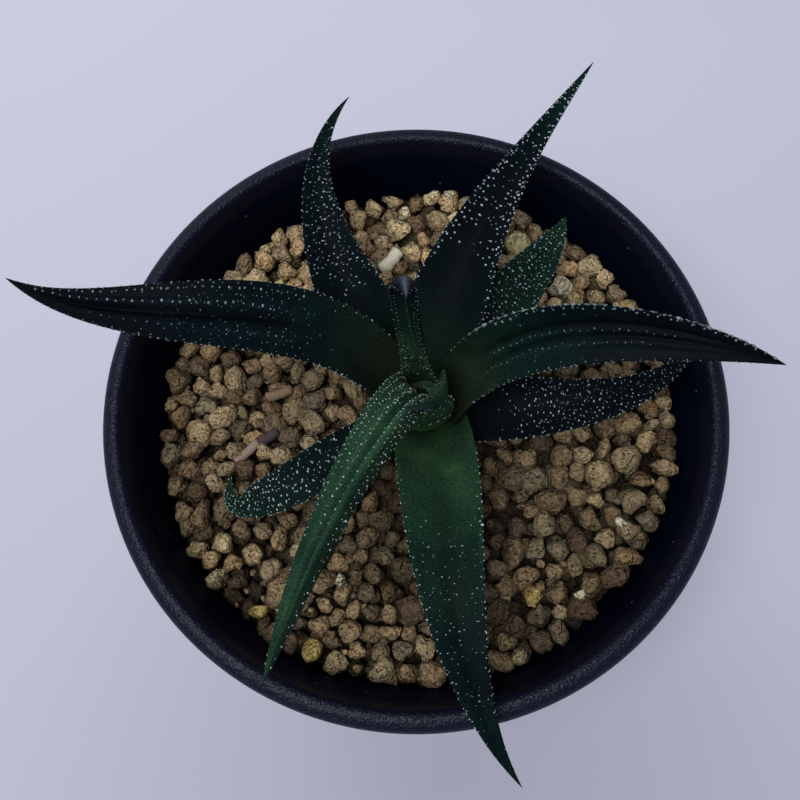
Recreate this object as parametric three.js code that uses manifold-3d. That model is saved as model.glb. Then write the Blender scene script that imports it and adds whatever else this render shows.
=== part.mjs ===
// A potted zebra haworthia: a rosette of eleven channelled leaves set with pearly tubercles,
// on a short stem in coarse gravel, in a round black plastic nursery pot.
// Millimetres, +Z up. The origin is the centre of the pot's flat base.
import * as THREE from 'three';
import { mergeVertices } from 'three/addons/utils/BufferGeometryUtils.js';
import Module from 'manifold-3d';

const wasm = await Module();
wasm.setup();

// Pot
const POT_HEIGHT = 88; // table to the crest of the lip
const RIM_RADIUS = 52.5; // outermost circle of the rounded lip
const LIP_OUTSIDE = 2.4; // from the lip's crest out to its outermost circle
const LIP_INSIDE = 1.3; // from the lip's crest in to the inner wall
const LIP_ROUND = 2.2; // height of the lip's rounded top
const LIP_SKIRT = 6; // height of the whole lip
const SKIRT_LEANS_IN = 0.3;
const WALL = 1.8;
const BASE_RADIUS = 38.5;
const BASE_CHAMFER = 1;
const FLOOR = 2.5;
const DRAIN_HOLES = 6;
const DRAIN_RADIUS = 3.5;
const DRAIN_CIRCLE = 24;
const DRAIN_SIDES = 12;
const ROUND_SIDES = 48;
const LIP_STEPS = 6;

// Gravel fill
const FILL_BELOW_RIM = 15.5; // crest of the lip down to the bed that the top grains lie in
const GRAIN_SPACING = 5.7;
const GRAIN_STRAYS = 1.4; // the furthest that a grain lies from its place in the pattern
const GRAIN_RADIUS = [2.7, 3.8]; // smallest and largest
const GRAIN_WIDTH = [0.8, 1.2]; // as a share of its length
const GRAIN_DEPTH = 0.9;
const GRAIN_STANDS = [0.2, 1]; // height of a grain's middle over the bed
const GRAIN_FROM_WALL = 2; // no grain's middle comes nearer to the wall
const BARE_ROUND_STEM = 8; // no grain's middle comes nearer to the stem's axis

// Stem
const STEM_AXIS = [2, -1];
const STEM_TOP_ABOVE_RIM = 2;
const STEM_BURIED = 16; // length below the bed
const STEM_RADIUS = 4.5;
const STEM_END_RADIUS = 3.6;
const STEM_SHOULDER = 3; // length over which each end is rounded off
const STEM_SIDES = 16;

// Leaves and their tubercles
const UPPER_ACROSS = [-1, -0.5, 0, 0.5, 1];
const LOWER_ACROSS = [0.6, 0, -0.6];
const FACING_LEAN = 0.5; // how far a leaf's upper face looks back to the crown
const THINNING = 0.4; // share of its thickness that a leaf loses by its tip
const THICKEST = 0.65; // a leaf's thickness as a share of its width, at most
const KEEL_SPREAD = 2.5; // the higher, the wider the deep part of the keel
const KEEL_ROUND = 0.6; // the lower, the fuller the keel's sides
const BAND_SPACING = 4; // from one band of tubercles to the next
const BEAD_LENGTH = 1.2; // along the leaf
const BEAD_RISE = 0.16; // share of the leaf's thickness
const BEAD_SHRINKS = 0.5; // share of its size that a tubercle loses by the tip
const BEADED_FROM = 0.12; // the first share of a leaf is hidden in the crown and bare
const BEADED_TO = 0.95;

// Clearance
const GAP = 0.3; // between solids that rest on each other
const LEAF_GAP = 0.5; // between a leaf's tubercles and the next leaf
const SHARPEST_CORNER = 0.45; // keeps a swollen leaf's margins from running far out
const SAME_POINT = 1e-4; // corners nearer than this are one

// The leaves from the youngest to the oldest. Each list runs from base to tip and is blended
// smoothly: path in millimetres from the middle of the rim, with height over its crest, width
// in millimetres, channel as depth over half width, and roll in degrees.
const LEAVES = [
  {
    name: 'leaf_01',
    path: [[3, 0, 4], [4, -0.5, 14], [5, -10, 25], [-1.5, -8, 20]],
    width: [5, 4, 3.5, 3, 0],
    channel: [0.6, 0.5, 0.3],
    roll: [50, 40, 120],
    thick: 2,
  },
  {
    name: 'leaf_02',
    path: [[1.9, 2, 2], [1.6, 1.2, 12], [-1.5, 1, 24], [-1.2, 5.5, 40], [-0.6, 0, 38.5]],
    width: [7, 6, 1, 8, 0],
    channel: [0.6, 0.4, 0.3],
    roll: [215, 215, 195],
    thick: 2,
  },
  {
    name: 'leaf_03',
    path: [[1, -4, 0], [4, 2, 22], [-11, -20, 31], [-18, -44, 24]],
    width: [10, 8, 7, 7.5, 0],
    channel: [0.7, 0.1, 0.1],
    roll: [0, 0],
    thick: 2.8,
  },
  {
    name: 'leaf_04',
    path: [[6, -1, -1], [12, 6, 20], [30, 3, 26], [49, -4, 26]],
    width: [9, 9.5, 10, 8.5, 0],
    channel: [0.4, 0.4, 0.4],
    roll: [0, 50, 40],
    thick: 3.2,
  },
  {
    name: 'leaf_05',
    path: [[-2, 0, -2], [-10, 9, 15], [-24.5, 7.5, 22], [-42, 1, 23.5], [-59, 11, 22]],
    width: [9, 11.5, 13.5, 7, 0],
    channel: [0.4, 0.35, 0.3],
    roll: [0, 0],
    thick: 3.4,
  },
  {
    name: 'leaf_06',
    path: [[3, -5, -4], [5.5, -22, 14], [3.5, -43, 8], [16, -59.5, -1]],
    width: [12.5, 14.2, 10, 5, 0],
    channel: [0.4, 0.25, 0.2],
    roll: [0, 0],
    thick: 3.4,
  },
  {
    name: 'leaf_07',
    path: [[3, 3, -5], [5, 20, 12], [18, 37, 13], [31, 56, 12]],
    width: [13, 18, 4, 4, 0],
    channel: [0.4, 0.35, 0.3],
    roll: [0, 0],
    thick: 3.4,
  },
  {
    name: 'leaf_08',
    path: [[-1, -4, -7], [-14, -10, 4], [-32, -27, -2], [-31, -12, -6]],
    width: [8, 8, 8.5, 4, 0],
    channel: [0.4, 0.3, 0.3],
    roll: [0, 0],
    thick: 3.2,
  },
  {
    name: 'leaf_09',
    path: [[6, -1, -8], [20, -4, 8], [42, -5, 2], [49, 13, 2]],
    width: [10, 13.5, 5.5, 3, 0],
    channel: [0.4, 0.3, 0.3],
    roll: [0, 0],
    thick: 3.4,
  },
  {
    name: 'leaf_10',
    path: [[0, 3, -10], [-15, 20, 6], [-22, 38, 8], [-11, 51, 10]],
    width: [12, 18, 3, 4, 0],
    channel: [0.4, 0.35, 0.3],
    roll: [0, 0],
    thick: 3.4,
  },
  {
    name: 'leaf_11',
    path: [[4, 3, -11], [14, 14, 4], [24, 25, 0], [27, 33, 0]],
    width: [8, 13, 9, 6.5, 0],
    channel: [0.4, 0.3, 0.3],
    roll: [0, 0],
    thick: 3.2,
  },
];

// Materials
const FINISH = {
  pot: new THREE.MeshStandardMaterial({ color: 0x11131a, roughness: 0.45, metalness: 0 }),
  gravel: new THREE.MeshStandardMaterial({ color: 0x8c7350, roughness: 0.95, metalness: 0 }),
  stem: new THREE.MeshStandardMaterial({ color: 0x59603a, roughness: 0.8, metalness: 0 }),
  leaf: new THREE.MeshStandardMaterial({ color: 0x1d3d2b, roughness: 0.5, metalness: 0 }),
};

// A closed geometry as a solid that can be joined and cut.
function solidOf(geometry) {
  const bare = geometry.clone();
  for (const extra of ['normal', 'uv']) bare.deleteAttribute(extra);
  const merged = mergeVertices(bare, SAME_POINT);
  return new wasm.Manifold(new wasm.Mesh({
    numProp: 3,
    vertProperties: new Float32Array(merged.attributes.position.array),
    triVerts: new Uint32Array(merged.index.array),
  }));
}

function meshOf(name, solid, material) {
  const cut = solid.getMesh();
  const geometry = new THREE.BufferGeometry();
  geometry.setAttribute('position', new THREE.BufferAttribute(cut.vertProperties, 3));
  geometry.setIndex(new THREE.BufferAttribute(cut.triVerts, 1));
  geometry.computeVertexNormals();
  const mesh = new THREE.Mesh(geometry, material);
  mesh.name = name;
  return mesh;
}

// A profile of [radius, height] points turned about the Z axis.
function turned(profile, sides) {
  const points = profile.map(([radius, height]) => new THREE.Vector2(radius, height));
  return new THREE.LatheGeometry(points, sides).rotateX(Math.PI / 2);
}

// Repeatable random numbers from 0 to 1.
function randomFrom(seed) {
  let state = seed;
  return () => {
    state = (Math.imul(state, 1664525) + 1013904223) >>> 0;
    return state / 2 ** 32;
  };
}

// Pot: one moulded wall with a rounded lip, a flat floor and a ring of drainage holes.
function wallRadius(height) {
  const topRadius = RIM_RADIUS - LIP_OUTSIDE - LIP_INSIDE + WALL;
  return BASE_RADIUS + (topRadius - BASE_RADIUS) * (height / POT_HEIGHT);
}

function potSolid() {
  const crest = RIM_RADIUS - LIP_OUTSIDE;
  const skirt = POT_HEIGHT - LIP_SKIRT;
  const profile = [
    [0, 0],
    [BASE_RADIUS - BASE_CHAMFER, 0],
    [BASE_RADIUS, BASE_CHAMFER],
    [wallRadius(skirt), skirt],
    [RIM_RADIUS - SKIRT_LEANS_IN, skirt],
  ];
  for (let i = 0; i <= LIP_STEPS; i += 1) {
    const turn = (Math.PI * i) / LIP_STEPS;
    const reach = turn <= Math.PI / 2 ? LIP_OUTSIDE : LIP_INSIDE;
    profile.push([
      crest + reach * Math.cos(turn),
      POT_HEIGHT - LIP_ROUND + LIP_ROUND * Math.sin(turn),
    ]);
  }
  profile.push([wallRadius(FLOOR) - WALL, FLOOR], [0, FLOOR]);
  let pot = solidOf(turned(profile, ROUND_SIDES));
  for (let i = 0; i < DRAIN_HOLES; i += 1) {
    const turn = (2 * Math.PI * i) / DRAIN_HOLES;
    const drill = new THREE.CylinderGeometry(DRAIN_RADIUS, DRAIN_RADIUS, 3 * FLOOR, DRAIN_SIDES)
      .rotateX(Math.PI / 2)
      .translate(DRAIN_CIRCLE * Math.cos(turn), DRAIN_CIRCLE * Math.sin(turn), FLOOR / 2);
    pot = pot.subtract(solidOf(drill));
  }
  return pot;
}

// Stem: a short round stump that the leaves grow from, mostly hidden by them.
function stemSolid(swell = 0) {
  const top = POT_HEIGHT + STEM_TOP_ABOVE_RIM;
  const bottom = POT_HEIGHT - FILL_BELOW_RIM - STEM_BURIED;
  const profile = [
    [0, bottom - swell],
    [STEM_END_RADIUS + swell, bottom - swell],
    [STEM_RADIUS + swell, bottom + STEM_SHOULDER],
    [STEM_RADIUS + swell, top - STEM_SHOULDER],
    [STEM_END_RADIUS + swell, top + swell],
    [0, top + swell],
  ];
  return solidOf(turned(profile, STEM_SIDES).translate(...STEM_AXIS, 0));
}

// Fill: the pot's load of gravel as one body, its top covered with chunky grains that stand
// half out of the bed, and a plain hole for the stem.
function fillSolid() {
  const bed = POT_HEIGHT - FILL_BELOW_RIM;
  const inside = (height) => wallRadius(height) - WALL - GAP;
  const random = randomFrom(20);
  const between = ([low, high]) => low + (high - low) * random();
  const below = [
    [0, FLOOR + GAP],
    [inside(FLOOR) - GAP, FLOOR + GAP],
  ];
  const room = solidOf(turned([...below, [inside(POT_HEIGHT), POT_HEIGHT], [0, POT_HEIGHT]], ROUND_SIDES));
  let fill = solidOf(turned([...below, [inside(bed), bed], [0, bed]], ROUND_SIDES));
  const rowSpacing = GRAIN_SPACING * Math.sqrt(0.75);
  const rows = Math.floor(inside(bed) / rowSpacing);
  const edge = inside(bed) - GRAIN_FROM_WALL;
  for (let row = -rows; row <= rows; row += 1) {
    for (let step = -rows - 2; step <= rows + 2; step += 1) {
      const shift = 0.5 * Math.abs(row % 2);
      const x = (step + shift) * GRAIN_SPACING + between([-GRAIN_STRAYS, GRAIN_STRAYS]);
      const y = row * rowSpacing + between([-GRAIN_STRAYS, GRAIN_STRAYS]);
      const size = between(GRAIN_RADIUS);
      const turn = new THREE.Euler(...[0, 0, 0].map(() => between([0, 2 * Math.PI])));
      const lift = between(GRAIN_STANDS);
      const width = between(GRAIN_WIDTH);
      const fromStem = Math.hypot(x - STEM_AXIS[0], y - STEM_AXIS[1]);
      if (Math.hypot(x, y) > edge || fromStem < BARE_ROUND_STEM) continue;
      const place = new THREE.Matrix4().compose(
        new THREE.Vector3(x, y, bed + lift),
        new THREE.Quaternion().setFromEuler(turn),
        new THREE.Vector3(size, size * width, size * GRAIN_DEPTH),
      );
      const grain = new THREE.OctahedronGeometry(1, 0).applyMatrix4(place);
      fill = fill.add(solidOf(grain));
    }
  }
  return fill.intersect(room).subtract(stemSolid(GAP));
}

// Blend of a list of numbers or points at fraction t, by repeated halving between neighbours.
function blend(values, t) {
  let level = values.map((value) => [value].flat());
  while (level.length > 1) {
    const from = level;
    level = from.slice(1).map((next, i) => next.map((x, k) => from[i][k] + (x - from[i][k]) * t));
  }
  return level[0];
}

// The leaf's own axes at fraction t: along the leaf, out of its upper face, and sideways.
function leafAxes(leaf, t) {
  const base = leaf.path[0];
  const tip = leaf.path.at(-1);
  const legs = leaf.path.slice(1).map((point, i) => point.map((x, k) => x - leaf.path[i][k]));
  const along = new THREE.Vector3(...blend(legs, t)).normalize();
  const outward = new THREE.Vector3(tip[0] - base[0], tip[1] - base[1], 0).normalize();
  const up = new THREE.Vector3(0, 0, 1).addScaledVector(outward, -FACING_LEAN);
  up.addScaledVector(along, -up.dot(along)).normalize();
  up.applyAxisAngle(along, THREE.MathUtils.degToRad(blend(leaf.roll, t)[0]));
  const side = new THREE.Vector3().crossVectors(along, up);
  const centre = new THREE.Vector3(...blend(leaf.path, t));
  centre.z += POT_HEIGHT;
  return { centre, along, up, side };
}

// The leaf's section at fraction t, as points [sideways, up] round it, starting at a margin.
// The upper face is a shallow trough, and the lower one a rounded keel hung from the margins.
function leafSection(leaf, t, bulge = 0) {
  const half = blend(leaf.width, t)[0] / 2;
  const trough = blend(leaf.channel, t)[0] * half;
  const thick = Math.min(leaf.thick * (1 - THINNING * t), THICKEST * 2 * half);
  const upper = UPPER_ACROSS.map((across) => [half * across, trough * across ** 2]);
  const lower = LOWER_ACROSS.map((across) => [
    half * across,
    trough * across ** 2 - thick * (1 - Math.abs(across) ** KEEL_SPREAD) ** KEEL_ROUND,
  ]);
  upper[0][0] -= bulge;
  upper[upper.length - 1][0] += bulge;
  return [...upper, ...lower];
}

// A section grown by an even distance all round.
function grown(section, distance) {
  return section.map(([x, y], i) => {
    const [x0, y0] = section.at(i - 1);
    const [x1, y1] = section[(i + 1) % section.length];
    const before = new THREE.Vector2(y0 - y, x - x0).normalize();
    const after = new THREE.Vector2(y - y1, x1 - x).normalize();
    const outward = before.clone().add(after).normalize();
    const reach = distance / Math.max(SHARPEST_CORNER, outward.dot(before));
    return [x + outward.x * reach, y + outward.y * reach];
  });
}

// Fractions along the leaf where its rings of points lie: a close pair for each band of
// tubercles, so that a band's cells are short and the ones between bands are long.
function leafStations(leaf) {
  const middles = [0, 0.25, 0.5, 0.75, 1].map((t) => leafAxes(leaf, t).centre);
  const length = new THREE.CatmullRomCurve3(middles).getLength();
  const bands = Math.round((length * (BEADED_TO - BEADED_FROM)) / BAND_SPACING);
  const stations = [0];
  for (let i = 0; i <= bands; i += 1) {
    const middle = BEADED_FROM + ((BEADED_TO - BEADED_FROM) * i) / bands;
    const half = ((BEAD_LENGTH / length) * (1 - BEAD_SHRINKS * middle)) / 2;
    stations.push(middle - half, middle + half);
  }
  return stations;
}

// The leaf as rings of points from base to tip, closed by a flat end and a point. Its bands
// have a raised point in the middle of each cell and bulging margins. With a swell it is a
// plain body that much bigger all round, to cut room for the leaf in another.
function leafBody(leaf, swell = 0) {
  const beaded = swell === 0;
  const rise = BEAD_RISE * leaf.thick;
  const stations = leafStations(leaf);
  const sides = UPPER_ACROSS.length + LOWER_ACROSS.length;
  const points = [];
  const faces = [];
  stations.forEach((t, i) => {
    const { centre, along, up, side } = leafAxes(leaf, t);
    if (i === 0) centre.addScaledVector(along, -swell);
    const section = leafSection(leaf, t, beaded && i > 0 ? rise * (1 - t) : 0);
    for (const [x, y] of beaded ? section : grown(section, swell)) {
      points.push(centre.clone().addScaledVector(side, x).addScaledVector(up, y));
    }
  });
  const end = leafAxes(leaf, 1);
  const tip = points.length;
  points.push(end.centre.addScaledVector(end.along, 2 * swell));
  for (let i = 0; i < stations.length; i += 1) {
    for (let j = 0; j < sides; j += 1) {
      const a = i * sides + j;
      const b = i * sides + ((j + 1) % sides);
      const c = a + sides;
      const d = b + sides;
      if (i === stations.length - 1) {
        faces.push(a, b, tip);
      } else if (beaded && i % 2 === 1) {
        const across = points[b].clone().sub(points[a]);
        const outward = across.cross(points[c].clone().sub(points[a])).normalize();
        const peak = points[a].clone().add(points[b]).add(points[c]).add(points[d]);
        peak.divideScalar(4).addScaledVector(outward, rise * (1 - BEAD_SHRINKS * stations[i]));
        const top = points.push(peak) - 1;
        faces.push(a, b, top, b, d, top, d, c, top, c, a, top);
      } else {
        faces.push(a, b, c, b, d, c);
      }
    }
  }
  const { up, side } = leafAxes(leaf, 0);
  const outline = points.slice(0, sides)
    .map((point) => new THREE.Vector2(point.dot(up), point.dot(side)));
  for (const [a, b, c] of THREE.ShapeUtils.triangulateShape(outline, [])) faces.push(a, c, b);
  const geometry = new THREE.BufferGeometry().setFromPoints(points);
  geometry.setIndex(faces);
  return solidOf(geometry);
}

// Each leaf, cut clear of the stem and of the younger leaves inside it. A cut can leave
// scraps, so only the largest piece is kept.
function leafSolid(index) {
  let solid = leafBody(LEAVES[index]).subtract(stemSolid(GAP));
  for (const younger of LEAVES.slice(0, index)) {
    solid = solid.subtract(leafBody(younger, LEAF_GAP + BEAD_RISE * younger.thick));
  }
  return solid.decompose().reduce((a, b) => (a.volume() > b.volume() ? a : b));
}

const plant = new THREE.Group();
plant.add(
  meshOf('pot', potSolid(), FINISH.pot),
  meshOf('gravel_fill', fillSolid(), FINISH.gravel),
  meshOf('stem', stemSolid(), FINISH.stem),
  ...LEAVES.map((leaf, index) => meshOf(leaf.name, leafSolid(index), FINISH.leaf)),
);

export default plant;
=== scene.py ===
# %% [markdown]
# A potted zebra haworthia, dressed for its portrait.
# The solids of the plant, its gravel and its pot are already made at their real size. This
# lesson gives each of them the surface that the real thing has: a moulded black pot, a bed of
# porous gravel, and eleven fleshy leaves set with pearly tubercles.
# Every shape here is a formula on a grid, worked out with numpy as whole arrays. The sizes are
# in millimetres, as a maker would measure them, and turned into metres only when a mesh is made.

# %% Load the solids and measure them
import math

import bpy
import numpy as np
from mathutils import Matrix, Vector


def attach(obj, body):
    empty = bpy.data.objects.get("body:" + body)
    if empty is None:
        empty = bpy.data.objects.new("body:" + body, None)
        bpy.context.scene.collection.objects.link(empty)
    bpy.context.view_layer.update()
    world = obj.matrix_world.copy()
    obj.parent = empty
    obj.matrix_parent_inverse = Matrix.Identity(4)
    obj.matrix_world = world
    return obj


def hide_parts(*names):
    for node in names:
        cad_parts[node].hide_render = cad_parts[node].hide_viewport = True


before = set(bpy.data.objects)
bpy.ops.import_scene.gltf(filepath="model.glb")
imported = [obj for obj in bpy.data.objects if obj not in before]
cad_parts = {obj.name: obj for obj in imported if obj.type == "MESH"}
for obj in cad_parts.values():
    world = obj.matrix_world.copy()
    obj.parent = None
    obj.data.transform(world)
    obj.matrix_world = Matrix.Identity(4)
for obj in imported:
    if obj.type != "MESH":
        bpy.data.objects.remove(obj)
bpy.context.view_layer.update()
MM = 0.001
BODY = "root"
print("solids:", ", ".join(sorted(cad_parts)))

# %% [markdown]
# The driving sizes repeat the ones that the solids were built from. The pot's rim is 105 mm
# across, and everything else in the picture was measured against it.

# %% Driving sizes
POT_HEIGHT = 88.0
RIM_RADIUS = 52.5
LIP_OUTSIDE = 2.4
LIP_INSIDE = 1.3
LIP_ROUND = 2.2
LIP_SKIRT = 6.0
WALL = 1.8
BASE_RADIUS = 38.5
FLOOR_THICK = 2.5
DRAIN_HOLES = 6
DRAIN_RADIUS = 3.5
DRAIN_CIRCLE = 24.0
FILL_BELOW_RIM = 15.5
CLEARANCE = 0.3
STEM_AXIS = np.array([2.0, -1.0])
STEM_RADIUS = 4.5
STEM_TOP_ABOVE_RIM = 2.0
STEM_BURIED = 16.0
BED = POT_HEIGHT - FILL_BELOW_RIM


def wall_radius(height):
    """Outer radius of the pot's wall, which widens evenly from the base to the rim."""
    top_radius = RIM_RADIUS - LIP_OUTSIDE - LIP_INSIDE + WALL
    return BASE_RADIUS + (top_radius - BASE_RADIUS) * height / POT_HEIGHT


print("the pot tapers from", 2 * RIM_RADIUS, "mm at the rim to", 2 * BASE_RADIUS, "mm at the base")

# %% [markdown]
# The photograph was taken by a hand-held camera from close above the plant, so near leaves look
# larger than far ones. A camera is three things: where it is, what it looks at, and how far it is
# rolled about its line of sight. Getting it right first means that every later picture can be
# laid beside the photograph.

# %% Camera
CAMERA_AT = Vector((0.8, -36.9, 209.0))
CAMERA_LOOKS_AT = Vector((-2.2, -1.0, 88.0))
CAMERA_ROLL = math.radians(4.6)
LENS = 34.2
SENSOR = 36.0


def placed(name, data):
    """A new object in the scene that shows this camera, light or mesh."""
    made = bpy.data.objects.new(name, data)
    bpy.context.scene.collection.objects.link(made)
    return made


camera_data = bpy.data.cameras.new("portrait_camera")
camera_data.lens = LENS
camera_data.sensor_width = SENSOR
camera_data.clip_start = 0.01
camera = placed("portrait_camera", camera_data)
line_of_sight = (CAMERA_LOOKS_AT - CAMERA_AT).normalized()
turned_to_aim = line_of_sight.to_track_quat("-Z", "Y").to_matrix().to_4x4()
rolled = Matrix.Rotation(CAMERA_ROLL, 4, line_of_sight)
camera.matrix_world = Matrix.Translation(CAMERA_AT * MM) @ rolled @ turned_to_aim
bpy.context.scene.camera = camera
print("camera", round((CAMERA_AT - CAMERA_LOOKS_AT).length), "mm above the middle of the rim")

# %% [markdown]
# The light in the photograph is a plain room's. It is brightest on the gravel under the far wall
# and weakest to the lower right of each leaf, so the main light hangs nearly overhead, a little to
# the left. One large area light there, a weaker one from behind and an even sky give the same.

# %% Light and floor
FLOOR_SIDE = 3000.0
SKY = (0.62, 0.66, 0.86, 1.0)
SKY_STRENGTH = 0.40
WINDOW = dict(place=(-170.0, -170.0, 780.0), side=380.0, watts=4.1, colour=(0.95, 0.97, 1.0))
SIDE_WINDOW = dict(place=(-380.0, 560.0, 520.0), side=420.0, watts=1.0, colour=(0.9, 0.95, 1.0))


def area_light(name, place, side, watts, colour):
    """A square light that faces the middle of the rim."""
    data = bpy.data.lights.new(name, "AREA")
    data.shape = "SQUARE"
    data.size = side * MM
    data.energy = watts
    data.color = colour
    light = placed(name, data)
    light.location = Vector(place) * MM
    towards = Vector((0, 0, POT_HEIGHT * MM)) - light.location
    light.rotation_euler = towards.to_track_quat("-Z", "Y").to_euler()


world = bpy.data.worlds.new("room")
world.use_nodes = True
world.node_tree.nodes["Background"].inputs["Color"].default_value = SKY
world.node_tree.nodes["Background"].inputs["Strength"].default_value = SKY_STRENGTH
bpy.context.scene.world = world
bpy.context.scene.view_settings.view_transform = "Standard"
area_light("window", **WINDOW)
area_light("side_window", **SIDE_WINDOW)

floor_mesh = bpy.data.meshes.new("floor")
half = FLOOR_SIDE * MM / 2
floor_corners = [(-half, -half, 0), (half, -half, 0), (half, half, 0), (-half, half, 0)]
floor_mesh.from_pydata(floor_corners, [], [(0, 1, 2, 3)])
floor = placed("floor", floor_mesh)
print("floor", FLOOR_SIDE, "mm wide, two lights and an even sky")

# %% [markdown]
# Four helpers do all the mesh work. A closed skin is a stack of rings with a point at each end:
# that one form makes a turned pot, a grain of gravel, a tubercle and a leaf.

# %% Mesh helpers
def closed_skin(rings):
    """Joins rings[..., ring, side, xyz] into closed skins and returns points, quads and triangles.

    Each ring is joined to the next by quads, and each end ring to its own middle by triangles.
    Any axes before the last three are separate bodies."""
    ring_count, side_count = rings.shape[-3], rings.shape[-2]
    bodies = rings.reshape(-1, ring_count * side_count, 3)
    ends = rings.reshape(-1, ring_count, side_count, 3)[:, [0, -1]].mean(axis=2)
    points = np.concatenate([bodies, ends], axis=1)
    row = np.arange(ring_count - 1)[:, None] * side_count
    here = np.arange(side_count)[None, :]
    after = (here + 1) % side_count
    quads = np.stack([row + here, row + after, row + after + side_count, row + here + side_count], -1)
    last = (ring_count - 1) * side_count
    first_pole = ring_count * side_count
    bottom = np.stack([after[0], here[0], np.full(side_count, first_pole)], -1)
    top = np.stack([last + here[0], last + after[0], np.full(side_count, first_pole + 1)], -1)
    shift = np.arange(len(points))[:, None, None] * points.shape[1]
    quads = (quads.reshape(1, -1, 4) + shift).reshape(-1, 4)
    triangles = (np.concatenate([bottom, top])[None] + shift).reshape(-1, 3)
    return points.reshape(-1, 3), quads, triangles


def joined(skins):
    """Several skins as one, with the faces' numbers moved up to match."""
    starts = np.cumsum([0] + [len(skin[0]) for skin in skins[:-1]])
    points = np.concatenate([skin[0] for skin in skins])
    faces = [[skin[kind] + start for skin, start in zip(skins, starts)] for kind in (1, 2)]
    return points, *map(np.concatenate, faces)


def piece(name, skin, materials, face_material=None, **attributes):
    """A mesh object from a skin in millimetres, with smooth faces and one value or colour a point
    for each named attribute."""
    points, quads, triangles = skin
    mesh = bpy.data.meshes.new(name)
    mesh.vertices.add(len(points))
    mesh.vertices.foreach_set("co", (points * MM).astype(np.float32).ravel())
    corners = np.concatenate([quads.ravel(), triangles.ravel()]).astype(np.int32)
    sizes = np.concatenate([np.full(len(quads), 4), np.full(len(triangles), 3)])
    starts = np.concatenate([[0], np.cumsum(sizes)[:-1]]).astype(np.int32)
    mesh.loops.add(len(corners))
    mesh.loops.foreach_set("vertex_index", corners)
    mesh.polygons.add(len(sizes))
    mesh.polygons.foreach_set("loop_start", starts)
    mesh.update(calc_edges=True)
    mesh.validate()
    mesh.shade_smooth()
    for material in materials:
        mesh.materials.append(material)
    if face_material is not None:
        mesh.polygons.foreach_set("material_index", face_material.astype(np.int32))
    for key, values in attributes.items():
        kind, label = ("FLOAT", "value") if values.ndim == 1 else ("FLOAT_VECTOR", "vector")
        mesh.attributes.new(key, kind, "POINT").data.foreach_set(label, values.astype(np.float32).ravel())
    return placed(name, mesh)


def seat(made, slot, *nodes):
    """Fixes a finished piece to the body and lets it stand for its solids. The slot is not used."""
    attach(made, BODY)
    if nodes:
        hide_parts(*nodes)
    print(made.name, len(made.data.vertices), "points,", len(made.data.polygons), "faces")


print("helpers: closed_skin, joined, piece and seat")

# %% [markdown]
# A material is a tree of nodes. The tools below add one node at a time and feed its inputs: a
# socket is wired in, and a number or a colour is set on the input itself. Three node groups are
# shared. Grain is the fine unevenness that every surface here has, Mottle mixes two colours in soft
# patches, and Pores are the small pits of volcanic gravel. The shader stays in the material.

# %% Tools for node trees
def feed(tree, node, inputs):
    """Wires each input of a node to a socket, or sets it to a number, vector or colour."""
    for label, value in inputs.items():
        socket = node.inputs[label]
        if isinstance(value, bpy.types.NodeSocket):
            tree.links.new(value, socket)
        elif socket.type == "RGBA":
            socket.default_value = (*value, 1.0)
        else:
            socket.default_value = value


def add(tree, kind, inputs, **settings):
    """A node of one kind with its settings, such as an operation, and its inputs fed."""
    node = tree.nodes.new(kind)
    for key, value in settings.items():
        setattr(node, key, value)
    feed(tree, node, inputs)
    return node


def math_node(tree, operation, *values, clamp=False):
    """The result of a Math node of sockets or numbers."""
    node = add(tree, "ShaderNodeMath", dict(enumerate(values)), operation=operation, use_clamp=clamp)
    return node.outputs[0]


def mixed(tree, factor, first, second, blend_type="MIX"):
    """A Mix node of two colours, each a socket or three numbers."""
    inputs = {0: factor, 6: first, 7: second}
    return add(tree, "ShaderNodeMix", inputs, data_type="RGBA", blend_type=blend_type).outputs[2]


def new_group(name, output, kind, values, colours=()):
    """A node group with one output, and with a vector, values and colours as its inputs.

    Returns the group, its inputs' sockets by name, and its output node."""
    group = bpy.data.node_groups.new(name, "ShaderNodeTree")
    kinds = {"Vector": "Vector", **dict.fromkeys(values, "Float"), **dict.fromkeys(colours, "Color")}
    for label, sort in kinds.items():
        group.interface.new_socket(name=label, in_out="INPUT", socket_type="NodeSocket" + sort)
    group.interface.new_socket(name=output, in_out="OUTPUT", socket_type="NodeSocket" + kind)
    given = group.nodes.new("NodeGroupInput").outputs
    return group, {label: given[label] for label in kinds}, group.nodes.new("NodeGroupOutput")


print("tools: feed, add, math_node, mixed and new_group")

# %% Node groups
MOTTLE_DETAIL = 4.0
PIT_WIDTH = 1.8
grain, given, result = new_group("Grain", "Height", "Float", ["Scale", "Detail"])
noise = add(grain, "ShaderNodeTexNoise", given)
feed(grain, result, {"Height": noise.outputs["Fac"]})

mottle, given, result = new_group("Mottle", "Color", "Color", ["Scale", "Sharpness"], ["First", "Second"])
noise_inputs = {"Vector": given["Vector"], "Scale": given["Scale"], "Detail": MOTTLE_DETAIL}
noise = add(mottle, "ShaderNodeTexNoise", noise_inputs)
centred = math_node(mottle, "SUBTRACT", noise.outputs["Fac"], 0.5)
spread = math_node(mottle, "MULTIPLY", centred, given["Sharpness"])
mask = math_node(mottle, "ADD", spread, 0.5, clamp=True)
feed(mottle, result, {"Color": mixed(mottle, mask, given["First"], given["Second"])})

pores, given, result = new_group("Pores", "Height", "Float", ["Scale", "Depth"])
cells = add(pores, "ShaderNodeTexVoronoi", {"Vector": given["Vector"], "Scale": given["Scale"]})
pit = math_node(pores, "MULTIPLY", cells.outputs["Distance"], PIT_WIDTH, clamp=True)
feed(pores, result, {"Height": math_node(pores, "POWER", pit, given["Depth"])})
print("node groups:", grain.name, mottle.name, pores.name)

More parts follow.
